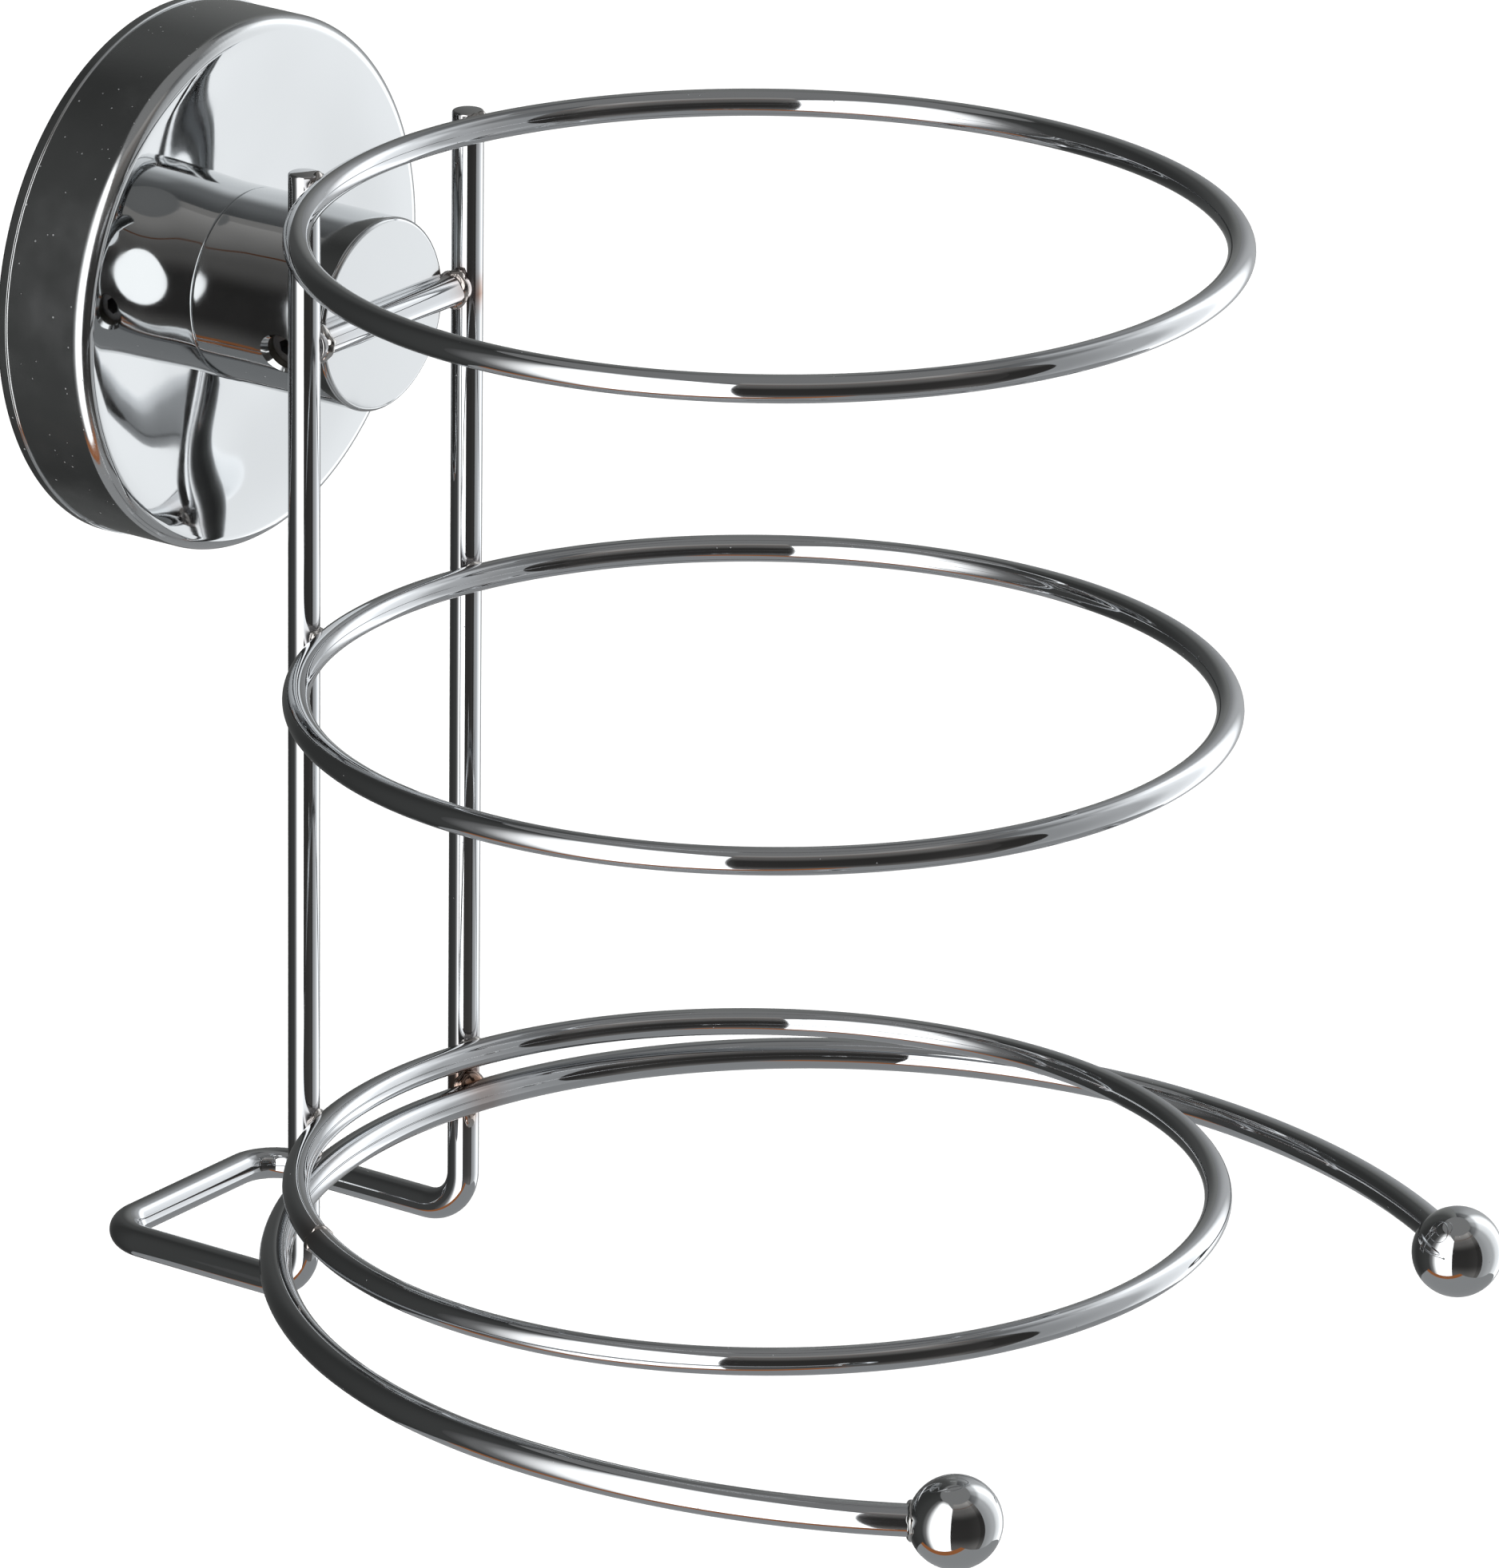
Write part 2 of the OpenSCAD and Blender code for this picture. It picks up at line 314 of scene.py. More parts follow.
def chrome(name, colour, ripple_mm, ripple_height, rough_low, rough_high, pit_mm=0.0, pit_gap=0.9,
           grain=None):
    """A bright metal with ripples, hazy patches and, where they are asked for, small dull pits.
    grain: (width in mm, stretch, height) of fine drawing lines that run along one direction."""
    material, tree = new_material(name)
    ripple = object_noise(tree, ripple_mm, 1.0)
    bump = add(tree, "Bump", Strength=1.0, Distance=ripple_height, Height=ripple.outputs[0])
    if grain:
        lines = object_noise(tree, grain[0], 2.0, grain[1])
        bump = add(tree, "Bump", Strength=1.0, Distance=grain[2], Height=lines.outputs[0],
                   Normal=bump.outputs[0])
    haze = object_noise(tree, HAZE_MM, 3.0)
    rough = add(tree, "MapRange", Value=haze.outputs[0], From_Min=0.35, From_Max=0.7, To_Min=rough_low,
                To_Max=rough_high)
    heat = add(tree, "Attribute", {"attribute_name": "weld_heat"})
    tint = add(tree, "Mix", {"data_type": "RGBA"}, _0=heat.outputs["Fac"], _6=linear(colour),
               _7=linear(HEAT_BROWN))
    shader = add(tree, "BsdfPrincipled", Base_Color=tint.outputs[2], Metallic=1.0,
                 Roughness=rough.outputs["Result"], Normal=bump.outputs[0])
    if pit_mm:
        spots = add(tree, "TexVoronoi", Vector=add(tree, "TexCoord").outputs["Object"],
                    Scale=1 / (pit_gap * MM))
        pit = pit_mm / 2 / pit_gap
        dot = add(tree, "MapRange", Value=spots.outputs["Distance"], From_Min=pit, From_Max=pit * 1.5,
                  To_Min=PIT_ROUGHNESS, To_Max=0.0)
        rare = add(tree, "Math", {"operation": "GREATER_THAN"}, _0=spots.outputs["Color"], _1=SMOOTH_CELLS)
        dot = add(tree, "Math", {"operation": "MULTIPLY"}, _0=dot.outputs[0], _1=rare.outputs[0])
        dull = add(tree, "Math", {"operation": "MAXIMUM"}, _0=rough.outputs["Result"], _1=dot.outputs[0])
        tree.links.new(dull.outputs[0], shader.inputs["Roughness"])
    add(tree, "OutputMaterial", Surface=shader.outputs[0])
    return material


# the eye sees a near-mirror with slightly wobbly edges, and tiny grey specks close up
wire_chrome = chrome("chrome on drawn wire", "#c9cbcd", 2.4, 0.004 * MM, 0.02, 0.07, pit_mm=0.12, pit_gap=1.1)
turned_chrome = chrome("chrome on turned brass", "#cccecf", 4.0, 0.003 * MM, 0.03, 0.09, pit_mm=0.12,
                       pit_gap=1.3)
# sheet: the slow waves of the press bend long reflections
drawn_chrome = chrome("chrome on drawn sheet", "#cccecf", 11.0, 0.03 * MM, 0.02, 0.05)
# the rim was stretched by the die: satin, with fine lines and more pits than the face
rim_chrome = chrome("chrome on a drawn rim", "#cccecf", 5.0, 0.012 * MM, 0.1, 0.22, pit_mm=0.16, pit_gap=0.75,
                    grain=(0.35, (1, 0.14, 0.35), 0.004 * MM))
# plating hardly reaches into holes and cups, so these are dull; their darker colour is painted shade in the
# hole and the cup
hole_plate_with_painted_shade = chrome("thin plate in a drilled hole, darkened as painted shade", "#6b675f", 2.0, 0.01 * MM, 0.3, 0.5)
cup_inside_with_painted_shade = chrome("thin plate inside the cup, darkened as painted shade", "#a9a7a2", 3.0, 0.02 * MM, 0.22, 0.4)
# a lumpy little mirror that glints
bead_chrome = chrome("chrome over a weld bead", "#c6c6c4", 0.7, 0.02 * MM, 0.03, 0.1)
print("chrome made")

# %% [markdown]
# ## Wire, run by run
# A wire starts as a circle, which is pushed along straight runs and spun round bends. That gives one
# smooth tube with even rings of faces, and a full ring is a single spin whose last step is merged onto
# the first.

# %% Wire helpers
AROUND = 40  # points round a wire
RING_STEPS, BEND_STEPS, UPRIGHT_STEPS, FOOT_STEPS, BAR_STEPS = 320, 20, 96, 4, 24
SAWN_ROUNDING = 0.25 * MM


def edges_between(verts):
    chosen = set(verts)
    return [e for e in {e for v in verts for e in v.link_edges} if chosen.issuperset(e.verts)]


def start_wire(bm, place, direction, radius):
    facing = Z.rotation_difference(direction).to_matrix().to_4x4()
    return bmesh.ops.create_circle(bm, cap_ends=False, segments=AROUND, radius=radius,
                                   matrix=Matrix.Translation(place) @ facing)["verts"]


def run_straight(bm, loop, travel, steps):
    for _ in range(steps):
        made = bmesh.ops.extrude_edge_only(bm, edges=edges_between(loop))["geom"]
        loop = [g for g in made if isinstance(g, bmesh.types.BMVert)]
        bmesh.ops.translate(bm, verts=loop, vec=travel / steps)
    return loop


def run_bend(bm, loop, middle, axis, degrees, steps):
    made = bmesh.ops.spin(bm, geom=list(loop) + edges_between(loop), cent=middle, axis=axis, dvec=(0, 0, 0),
                          angle=math.radians(degrees), steps=steps, use_merge=degrees == 360)
    return [g for g in made["geom_last"] if isinstance(g, bmesh.types.BMVert)]


def cut_end(bm, loop, rounding):
    """Closes a wire's end with a flat sawn face and a slightly rounded rim."""
    rim = edges_between(loop)
    bmesh.ops.edgeloop_fill(bm, edges=rim)
    bmesh.ops.bevel(bm, geom=rim, offset=rounding, segments=3, profile=0.5, affect="EDGES", material=-1)


# %% [markdown]
# Every finished piece goes through one function: it welds doubled points, turns the faces outwards,
# smooths the shading except over real edges, measures how close each point is to a weld, and puts the
# piece on its body.

# %%
welds = []  # (place, reach, strength) of each heat mark


def finish_piece(name, bm, body, nodes, materials, sharp_degrees=35):
    bmesh.ops.remove_doubles(bm, verts=bm.verts, dist=SAME_PLACE)
    bmesh.ops.recalc_face_normals(bm, faces=bm.faces)
    place_piece(name, to_mesh(name, bm), body, nodes, materials, sharp_degrees)


def place_piece(name, mesh, body, nodes, materials, sharp_degrees=35):
    mesh.shade_smooth()
    mesh.set_sharp_from_angle(angle=math.radians(sharp_degrees))
    heat = mesh.attributes.new("weld_heat", "FLOAT", "POINT")
    for i, v in enumerate(mesh.vertices):
        marks = [s * math.exp(-((v.co - p).length / reach) ** 2) for p, reach, s in welds]
        heat.data[i].value = min(max(marks, default=0.0), 1.0)
    for material in materials:
        mesh.materials.append(material)
    obj = add_object(name, mesh)
    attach(obj, body)
    if nodes:
        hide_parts(*nodes)
    print(name, "has", len(mesh.polygons), "faces")


# %% [markdown]
# ## Where the welds are
# The rings and the fork lie against the front of both uprights and are spot-welded there. The point of
# contact is on the line from the middle of the ring to the upright.

# %% Main places of the wire cage
bar_size, _ = size_and_middle("cross_bar")
frame_low, frame_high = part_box("frame")
FRAME_R = bar_size.z / 2
upright_x = frame_high.x - FRAME_R
upright_y = frame_low.y + FRAME_R
foot_z = frame_low.z + FRAME_R
foot_back_y = frame_high.y - FRAME_R
top_z = frame_high.z
BEND_R = 5 * MM  # of the wire's middle line

ring_size, ring_middle = size_and_middle("top_ring")
RING_WIRE_R = ring_size.z / 2
RING_R = ring_size.x / 2 - RING_WIRE_R
ring_heights = {name: size_and_middle(name + "_ring")[1].z for name in ("top", "middle", "bottom")}

FORK_DROOP = math.radians(1.6)
FORK_BACK_R = 63 * MM
FORK_ARM_R = 76.5 * MM
FORK_ARM_SWEEP = 36.5  # degrees
FORK_Z = -93.9 * MM
PRESSED_IN = 0.3 * MM  # how far the weld pressed the fork into the uprights
fork_seat = math.sqrt((FORK_BACK_R + 2 * FRAME_R - PRESSED_IN) ** 2 - upright_x ** 2)
print("uprights at x", round(upright_x / MM, 2), "y", round(upright_y / MM, 2))
print("ring radius", round(RING_R / MM, 2))

# %% [markdown]
# The right upright took more heat than the left one: its fork weld is the largest and the brownest, and
# some of the metal ran down the wire.

# %% Welds
beads = []  # (place, normal between the two wires, half sizes across, along the normal and up), in metres
# half sizes in the same order, in mm
RING_BEAD, BAR_BEAD, RUN_BEAD = (1.7, 0.8, 1.35), (2.0, 1.0, 2.2), (0.9, 0.5, 1.3)
FORK_BEAD_LEFT, FORK_BEAD_RIGHT = (2.3, 1.1, 2.1), (2.3, 1.1, 2.7)
FORK_BEAD_ASIDE = 0.8 * MM


def weld(place, towards, bead_mm, reach_mm, heat):
    welds.append((place, reach_mm * MM, heat))
    beads.append((place, towards, *(size * MM for size in bead_mm)))


JOINT_DEPTH = FRAME_R - 0.1 * MM
for side in (-1, 1):
    on_right = side > 0
    upright = Vector((side * upright_x, upright_y, 0))
    for z in ring_heights.values():
        towards = (upright - Vector((0, ring_middle.y, 0))).normalized()
        weld(upright - towards * JOINT_DEPTH + z * Z, towards, RING_BEAD, 2.2, 0.22)
    towards = (upright - Vector((0, upright_y - fork_seat, 0))).normalized()
    weld(upright - towards * JOINT_DEPTH + FORK_Z * Z - FORK_BEAD_ASIDE * X, towards,
         FORK_BEAD_RIGHT if on_right else FORK_BEAD_LEFT, 2.7, 1.3 if on_right else 0.3)
    weld(upright - side * (FRAME_R + 0.7 * MM) * X, X, BAR_BEAD, 2.2, 0.6 if on_right else 0.2)
# the bar's weld marked the front of the right upright too
welds.append((Vector((upright_x, upright_y - FRAME_R, -0.6 * MM)), 1.6 * MM, 0.7))
# a run of the fork's weld down the right upright
run_down = Vector((upright_x - 0.4 * FRAME_R, upright_y - 0.85 * FRAME_R, FORK_Z - FRAME_R - 1.3 * MM))
weld(run_down, Y, RUN_BEAD, 1.6, 0.15)
# the bottom ring's own butt joint, left as a slight swelling
joint = math.radians(146)
outwards = Vector((math.cos(joint), math.sin(joint), 0))
swelling = RING_WIRE_R / MM + 0.12
weld(Vector((0, ring_middle.y, ring_heights["bottom"])) + RING_R * outwards, Z.cross(outwards),
     (swelling, 0.9, swelling), 3, 0.3)
print(len(welds), "heat marks and", len(beads), "beads")

# %% Rings
for name, z in ring_heights.items():
    bm = bmesh.new()
    hub = Vector((0, ring_middle.y, z))
    loop = start_wire(bm, hub + RING_R * X, Y, RING_WIRE_R)
    run_bend(bm, loop, hub, Z, 360, RING_STEPS)
    finish_piece("ring_" + name, bm, "holder", [name + "_ring"], [wire_chrome])

# %% Frame
bm = bmesh.new()
drop = top_z - foot_z - BEND_R
foot_run = foot_back_y - upright_y - 2 * BEND_R
first = start_wire(bm, Vector((-upright_x, upright_y, top_z)), -Z, FRAME_R)
loop = run_straight(bm, first, -Z * drop, UPRIGHT_STEPS)
loop = run_bend(bm, loop, Vector((-upright_x, upright_y + BEND_R, foot_z + BEND_R)), X, 90, BEND_STEPS)
loop = run_straight(bm, loop, Y * foot_run, FOOT_STEPS)
loop = run_bend(bm, loop, Vector((BEND_R - upright_x, foot_back_y - BEND_R, foot_z)), -Z, 90, BEND_STEPS)
loop = run_straight(bm, loop, X * 2 * (upright_x - BEND_R), FOOT_STEPS)
loop = run_bend(bm, loop, Vector((upright_x - BEND_R, foot_back_y - BEND_R, foot_z)), -Z, 90, BEND_STEPS)
loop = run_straight(bm, loop, -Y * foot_run, FOOT_STEPS)
loop = run_bend(bm, loop, Vector((upright_x, upright_y + BEND_R, foot_z + BEND_R)), X, -90, BEND_STEPS)
loop = run_straight(bm, loop, Z * drop, UPRIGHT_STEPS)
for end in (first, loop):
    cut_end(bm, end, SAWN_ROUNDING)
finish_piece("frame_wire", bm, "holder", ["frame"], [wire_chrome])

# %% Cross bar
bm = bmesh.new()
bar_reach = upright_x - 0.75 * FRAME_R  # the ends stop inside the uprights' sides
first = start_wire(bm, Vector((-bar_reach, upright_y, 0)), X, FRAME_R)
loop = run_straight(bm, first, X * 2 * bar_reach, BAR_STEPS)
for end in (first, loop):
    cut_end(bm, end, SAWN_ROUNDING)
finish_piece("bar_wire", bm, "holder", ["cross_bar"], [wire_chrome])

# %% Fork
BACK_STEPS, ARM_STEPS = 128, 32
fork_plane = (Matrix.Translation((0, upright_y, FORK_Z)) @ Matrix.Rotation(FORK_DROOP, 4, "X")
              @ Matrix.Translation((0, -fork_seat, 0)))
arm_middle = FORK_BACK_R - FORK_ARM_R
bm = bmesh.new()
first = start_wire(bm, Vector((FORK_BACK_R, 0, 0)), Y, FRAME_R)
loop = run_bend(bm, first, Vector((0, 0, 0)), Z, 180, BACK_STEPS)
left_end = run_bend(bm, loop, Vector((-arm_middle, 0, 0)), Z, FORK_ARM_SWEEP, ARM_STEPS)
right_end = run_bend(bm, first, Vector((arm_middle, 0, 0)), -Z, FORK_ARM_SWEEP, ARM_STEPS)
for end in (left_end, right_end):
    cut_end(bm, end, 0.2 * MM)  # hidden in the balls
bmesh.ops.transform(bm, matrix=fork_plane, verts=bm.verts)
finish_piece("fork_wire", bm, "holder", ["fork"], [wire_chrome])

# %% [markdown]
# ## The balls
# Each fork arm ends in a ball that is pressed onto the wire and brazed. The braze leaves a narrow collar
# round the wire, so each ball gets a flat bead at its neck.

# %% Balls
NECK_R = FRAME_R + 0.35 * MM
arm_end = math.radians(FORK_ARM_SWEEP)
for side in ("left", "right"):
    size, middle = size_and_middle("ball_" + side)
    sign = 1 if side == "right" else -1
    into_ball = fork_plane.to_3x3() @ Vector((-sign * math.sin(arm_end), -math.cos(arm_end), 0))
    welds.append((middle - 0.5 * size.z * into_ball, 1.5 * MM, 0.25))
    beads.append((middle - 0.47 * size.z * into_ball, into_ball, NECK_R, 0.45 * MM, NECK_R))
    bm = bmesh.new()
    pole = bm.verts.new(middle + size.z / 2 * Z)
    bmesh.ops.spin(bm, geom=[pole], cent=middle, axis=Y, dvec=(0, 0, 0), angle=math.pi, steps=48)
    bmesh.ops.spin(bm, geom=bm.verts[:] + bm.edges[:], cent=middle, axis=Z, dvec=(0, 0, 0),
                   angle=math.tau, steps=96, use_merge=True)
    finish_piece("end_ball_" + side, bm, "holder", ["ball_" + side], [turned_chrome])

# %% [markdown]
# ## The sleeve and the rosette
# Both are round about the post's axis, so each is a profile, drawn as a chain of points in the plane
# through the axis and spun once round. Extra points just past a rounding, a "hold" away, keep the flat
# face truly flat in its shading: without them the mirror would bend all the way to the middle.

# %%
HOLD = 0.02  # mm
ROUND_STEPS = 10


def profile(bm, points):
    """A closed chain of edges through (radius, distance out) points, in mm. A third number in a point
    rounds that corner."""
    verts = [bm.verts.new((r * MM, -out * MM, 0)) for r, out, *_ in points]
    for a, b in zip(verts, verts[1:] + verts[:1]):
        bm.edges.new((a, b))
    for vert, (_, _, *rounding) in zip(verts, points):
        if rounding:
            bmesh.ops.bevel(bm, geom=[vert], offset=rounding[0] * MM, offset_type="OFFSET",
                            segments=ROUND_STEPS, profile=0.5, affect="VERTICES", material=-1)


def spin_round_post(bm, steps=192):
    bmesh.ops.spin(bm, geom=bm.verts[:] + bm.edges[:], cent=(0, 0, 0), axis=Y, dvec=(0, 0, 0),
                   angle=math.tau, steps=steps, use_merge=True)


# %% [markdown]
# The rosette is a cup pressed from one millimetre sheet and then swaged onto the sleeve. Swaging draws
# the flat face in by 0.4 mm round the sleeve, and leaves it slightly wavy on one side. That is too
# shallow to see as a shape, but a mirror bends every reflection over it, and that tells the eye that it
# is sheet.

# %% Rosette
# depths and lengths in mm
DISH_DEPTH = 0.42
WAVE_DEPTH = 0.36
WAVE_LENGTH = 13.0
WAVE_FADE = 4  # how gently the waves end on the right
LIP_FADE = 3  # how soon the sheet behind the face is free of the sleeve's lip
WAVE_SEED = 11.7


def press_waves(place):
    """How far swaging pushed a point of the face back towards the wall, in metres. place is in mm."""
    r, out = math.hypot(place.x, place.z), -place.y
    if r >= FLAT_R or out < ROSETTE_OUT - 1.5 * SHEET:
        return 0.0
    across = max(0.0, (r - SLEEVE_R) / (FLAT_R - SLEEVE_R))
    dish = DISH_DEPTH * math.cos(math.pi / 2 * across) ** 2
    left = 1 / (1 + math.exp(place.x / WAVE_FADE))
    wave = 0.5 + 0.5 * noise.noise(Vector((place.x, place.z, WAVE_SEED * WAVE_LENGTH)) / WAVE_LENGTH)
    free = 1.0 if out > ROSETTE_OUT - SHEET / 2 else min(1.0, max(0.0, (r - LIP_R) / LIP_FADE))
    return free * (dish + WAVE_DEPTH * left * wave * math.sin(math.pi * across)) * MM


rosette_size, _ = size_and_middle("rosette")
sleeve_low, sleeve_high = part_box("sleeve")
SLEEVE_R = (sleeve_high.x - sleeve_low.x) / 2 / MM
ROSETTE_R = rosette_size.x / 2 / MM
ROSETTE_OUT = -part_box("rosette")[0].y / MM
SHEET = 1.0
EDGE = 1.6
HOLE_R, LIP_R = 7.95, 8.95
LIP_STEP = 0.2
BACK_LIP = 1.3
RIM_R = ROSETTE_R - LIP_STEP
FLAT_R = RIM_R - EDGE - 0.4
FACE_RINGS = 20
face_radii = [SLEEVE_R + (FLAT_R - SLEEVE_R) * k / FACE_RINGS for k in range(FACE_RINGS + 1)]
hole = [(HOLE_R, ROSETTE_OUT - SHEET), (HOLE_R, ROSETTE_OUT)]
flat_face = [(r, ROSETTE_OUT) for r in face_radii]
edge = [(RIM_R - EDGE - HOLD, ROSETTE_OUT), (RIM_R, ROSETTE_OUT, EDGE), (RIM_R, ROSETTE_OUT - EDGE - HOLD),
        (RIM_R, ROSETTE_OUT - EDGE - 0.4)]
back_lip = [(RIM_R, BACK_LIP + 0.8), (RIM_R, BACK_LIP + 0.3), (RIM_R, BACK_LIP, 0.12),
            (ROSETTE_R, BACK_LIP, 0.09), (ROSETTE_R, 0, 0.35), (ROSETTE_R - SHEET, 0, 0.2)]
inside_corner = [(RIM_R - SHEET, ROSETTE_OUT - SHEET, 0.6)]
inside = [(r, ROSETTE_OUT - SHEET) for r in reversed(face_radii)]
bm = bmesh.new()
profile(bm, hole + flat_face + edge + back_lip + inside_corner + inside)
spin_round_post(bm)
for v in bm.verts:
    v.co.y += press_waves(v.co / MM)
bmesh.ops.remove_doubles(bm, verts=bm.verts, dist=SAME_PLACE)
bmesh.ops.recalc_face_normals(bm, faces=bm.faces)
# the faces inside the cup get a dull plate whose darker colour is painted shade
INSIDE, RIM = 1, 2  # places in the piece's list of materials
for face in bm.faces:
    middle = face.calc_center_median() / MM
    r, out = math.hypot(middle.x, middle.z), -middle.y
    if face.normal.dot(Vector((middle.x, 0, middle.z)).normalized()) > 0.5 and r > RIM_R - 1:
        face.material_index = RIM
    elif r < RIM_R - 0.5 * SHEET and out < ROSETTE_OUT - 0.8 * SHEET:
        face.material_index = INSIDE
finish_piece("rosette_cover", bm, "holder", ["rosette"],
             [drawn_chrome, cup_inside_with_painted_shade, rim_chrome], sharp_degrees=50)

# %% Sleeve
def loose_object(name, bm):
    """A throw-away object, for modifiers to work on."""
    bmesh.ops.recalc_face_normals(bm, faces=bm.faces)
    return add_object(name, to_mesh(name, bm))


FACE = -sleeve_low.y / MM
BORE_R, BORE_BOTTOM, SPIGOT_R = 6.05, FACE - 2.6, 7.95
LIP_START, LIP_T = 10.2, 0.8
SHOULDER = ROSETTE_OUT - DISH_DEPTH  # it follows the dished face
BARREL_RINGS = 20
SLEEVE_EDGE = 0.5
BARREL_FROM, BARREL_TO = FACE - 0.9, SHOULDER + 0.5
end_face = [(0, BORE_BOTTOM), (0, FACE), (SLEEVE_R - 0.9, FACE), (SLEEVE_R - SLEEVE_EDGE - HOLD, FACE)]
rounding = [(SLEEVE_R, FACE, SLEEVE_EDGE), (SLEEVE_R, FACE - SLEEVE_EDGE - HOLD)]
barrel_side = [(SLEEVE_R, BARREL_FROM + (BARREL_TO - BARREL_FROM) * k / BARREL_RINGS)
               for k in range(BARREL_RINGS + 1)]
shoulder = [(SLEEVE_R, SHOULDER + 0.3), (SLEEVE_R, SHOULDER, 0.15), (SPIGOT_R, SHOULDER)]
swaged_lip = [(SPIGOT_R, LIP_START + LIP_T), (LIP_R, LIP_START + LIP_T), (LIP_R, LIP_START, 0.2)]
bore = [(BORE_R, LIP_START), (BORE_R, BORE_BOTTOM)]
bm = bmesh.new()
profile(bm, end_face + rounding + barrel_side + shoulder + swaged_lip + bore)
spin_round_post(bm)
bmesh.ops.remove_doubles(bm, verts=bm.verts, dist=SAME_PLACE)
blank = loose_object("sleeve_blank", bm)

# %% [markdown]
# The grub screw's hole is drilled into the sleeve a little below its left side, with a small
# countersink. A Boolean does what the drill does: it takes a shape away. The blank and the drill are
# then thrown away. Plating hardly reaches into the hole and the bore, so their faces are dull, and
# they are given a darker colour as painted shade.

# %% Drill the hole
_, grub_middle = size_and_middle("grub_screw")
GRUB_ANGLE = math.radians(17)  # below the level
HOLE_DRILL_R = 2.05
CONE_TIP, CONE_RIM = 0.4, 0.9  # how much thinner and wider than the hole the countersinking tool is
COUNTERSINK = 0.05  # how deep that tool goes
along_grub = Matrix.Translation((0, grub_middle.y, 0)) @ Matrix.Rotation(-(math.pi / 2 + GRUB_ANGLE), 4, "Y")


def baked(obj):
    """The object's mesh with its modifiers applied. The object itself is removed."""
    bpy.context.view_layer.update()
    mesh = bpy.data.meshes.new_from_object(obj.evaluated_get(bpy.context.evaluated_depsgraph_get()))
    bpy.data.objects.remove(obj)
    return mesh


bm = bmesh.new()
surface = SLEEVE_R * MM
bmesh.ops.create_cone(bm, cap_ends=True, segments=48, radius1=HOLE_DRILL_R * MM, radius2=HOLE_DRILL_R * MM,
                      depth=surface, matrix=along_grub @ Matrix.Translation((0, 0, 0.6 * surface)))
drill = loose_object("drill", bm)
bm = bmesh.new()
bmesh.ops.create_cone(bm, cap_ends=True, segments=48, radius1=(HOLE_DRILL_R - CONE_TIP) * MM,
                      radius2=(HOLE_DRILL_R + CONE_RIM) * MM, depth=(CONE_TIP + CONE_RIM) * MM,
                      matrix=along_grub @ Matrix.Translation((0, 0, surface - (CONE_TIP - COUNTERSINK) * MM)))
countersink = loose_object("countersink", bm)
for tool in (drill, countersink):
    cut = blank.modifiers.new(tool.name, "BOOLEAN")
    cut.operation, cut.solver, cut.object = "DIFFERENCE", "EXACT", tool
sleeve_mesh = baked(blank)
for tool in (drill, countersink):
    bpy.data.objects.remove(tool)
# the faces of the hole and the bore get a dull plate whose darker colour is painted shade
DULL_AND_SHADED = 1  # its place in the sleeve's list of materials
to_hole = along_grub.inverted()
for polygon in sleeve_mesh.polygons:
    in_hole = to_hole @ polygon.center
    drilled = in_hole.z > 0 and in_hole.xy.length < (HOLE_DRILL_R + 0.01) * MM
    bored = math.hypot(polygon.center.x, polygon.center.z) / MM < BORE_R + 0.01
    on_end_face = -polygon.center.y / MM >= FACE - 0.01
    if (drilled or bored) and not on_end_face:
        polygon.material_index = DULL_AND_SHADED
place_piece("sleeve_turned", sleeve_mesh, "holder", ["sleeve"],
            [turned_chrome, hole_plate_with_painted_shade])

# %% [markdown]
# ## Weld beads
# A spot weld presses molten metal out of the joint. It freezes as a small lumpy bead in the corner
# between the wires, and the plating later covers it. Each bead starts as a few overlapping balls. The
# Remesh modifier melts them together, and Smooth rounds the joints, as the metal itself does.

# %% Beads
SPATTER = 4  # small lumps round each bead
UNEVEN = 0.16  # how far a lump departs from a true ball
bm = bmesh.new()


def lump(place, sizes, axes, seed):
    """An uneven ball. sizes are its half widths along the three axes."""
    made = bmesh.ops.create_icosphere(bm, subdivisions=4, radius=1.0)["verts"]
    for v in made:
        v.co *= 1 + UNEVEN * noise.noise(1.7 * v.co + Vector((seed, 0, 0)))
    to_place = Matrix.Translation(place) @ axes.to_4x4() @ Matrix.Diagonal((*sizes, 1))
    bmesh.ops.transform(bm, verts=made, matrix=to_place)


for number, (place, normal, across, thick, high) in enumerate(beads):
    axes = Matrix((normal.cross(Z), normal, Z)).transposed()
    lump(place, (across, thick, high), axes, 3.1 * number)
    for k in range(SPATTER):
        angle = math.radians(360 / SPATTER * k + 47 * number)
        offset = axes @ Vector((0.72 * across * math.cos(angle), 0.15 * thick, 0.78 * high * math.sin(angle)))
        small = (0.34 + 0.14 * noise.noise(Vector((number, k, 0.5)))) * across
        lump(place + offset, (small, 0.8 * small, small), axes, number + 7.7 * k)
bead_object = loose_object("bead_blank", bm)
melt = bead_object.modifiers.new("melt", "REMESH")
melt.mode, melt.voxel_size = "VOXEL", 0.14 * MM
soften = bead_object.modifiers.new("soften", "SMOOTH")
soften.factor, soften.iterations = 0.5, 8
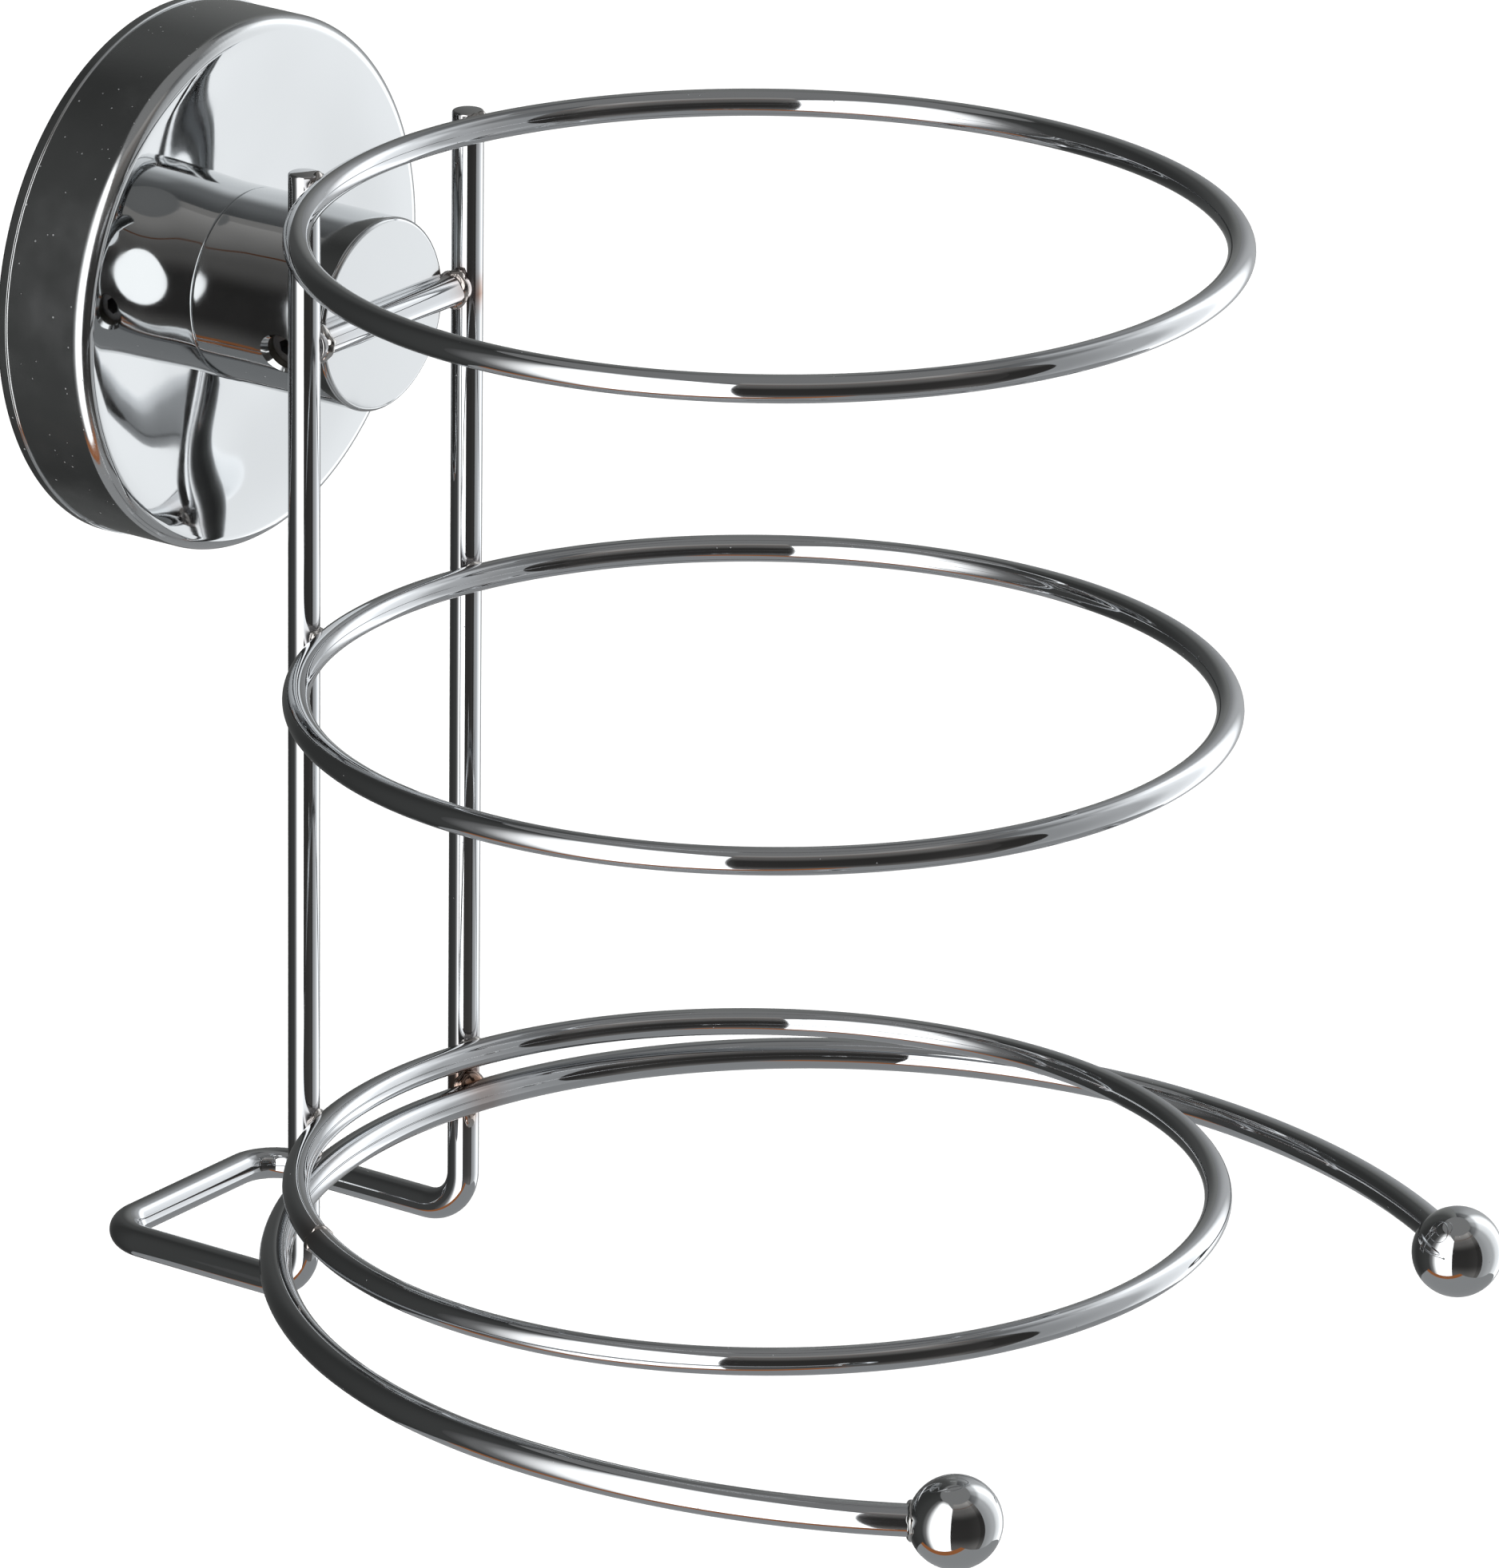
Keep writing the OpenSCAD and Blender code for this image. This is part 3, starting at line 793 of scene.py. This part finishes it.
place_piece("weld_beads", baked(bead_object), "holder", [], [bead_chrome], sharp_degrees=180)

# %% [markdown]
# ## The hidden fixings
# The wall plate and its post are pressed and turned from mild steel and zinc plated: a pale, slightly
# blue-grey metal with a soft sheen and cloudy patches where the clear passivation is thicker. The
# screws are rolled and plated in a barrel, which leaves them duller and more scuffed. The shapes of the
# CAD parts are right as they are, so they only get a finish.

# %% Zinc and steel
def plated_steel(name, colour, cloud_colour, cloud_mm, rough_low, rough_high, scuff_mm, scuff_height):
    """A satin metal that drifts between two colours in clouds, with small scuffs."""
    material, tree = new_material(name)
    clouds = object_noise(tree, cloud_mm, 3.0)
    blend = add(tree, "MapRange", Value=clouds.outputs[0], From_Min=0.35, From_Max=0.65, To_Min=0.0,
                To_Max=1.0)
    tint = add(tree, "Mix", {"data_type": "RGBA"}, _0=blend.outputs["Result"], _6=linear(colour),
               _7=linear(cloud_colour))
    rough = add(tree, "MapRange", Value=clouds.outputs[0], From_Min=0.3, From_Max=0.7, To_Min=rough_low,
                To_Max=rough_high)
    scuffs = object_noise(tree, scuff_mm, 4.0)
    bump = add(tree, "Bump", Strength=1.0, Distance=scuff_height, Height=scuffs.outputs[0])
    shader = add(tree, "BsdfPrincipled", Base_Color=tint.outputs[2], Metallic=1.0,
                 Roughness=rough.outputs["Result"], Normal=bump.outputs[0])
    add(tree, "OutputMaterial", Surface=shader.outputs[0])
    return material


zinc = plated_steel("clear zinc on pressed steel", "#ced2d6", "#c2c1b4", 7.0, 0.38, 0.55, 0.8, 0.012 * MM)
screw_zinc = plated_steel("barrel-plated zinc", "#b9bdc2", "#a8a69b", 2.5, 0.36, 0.54, 0.5, 0.02 * MM)
# the grub screw sits deep in its hole: its dark colour is painted shade, its dullness is real
grub_steel_with_painted_shade = plated_steel("dulled stainless steel, darkened as painted shade", "#5c5d60", "#4a4744", 1.2, 0.35, 0.55, 0.3, 0.015 * MM)
finishes = {"wall_plate": zinc, "post": zinc, "post_screw": screw_zinc, "grub_screw": grub_steel_with_painted_shade}
for node, finish in finishes.items():
    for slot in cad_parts[node].material_slots:
        slot.material = finish
    print(node, "is", finish.name)
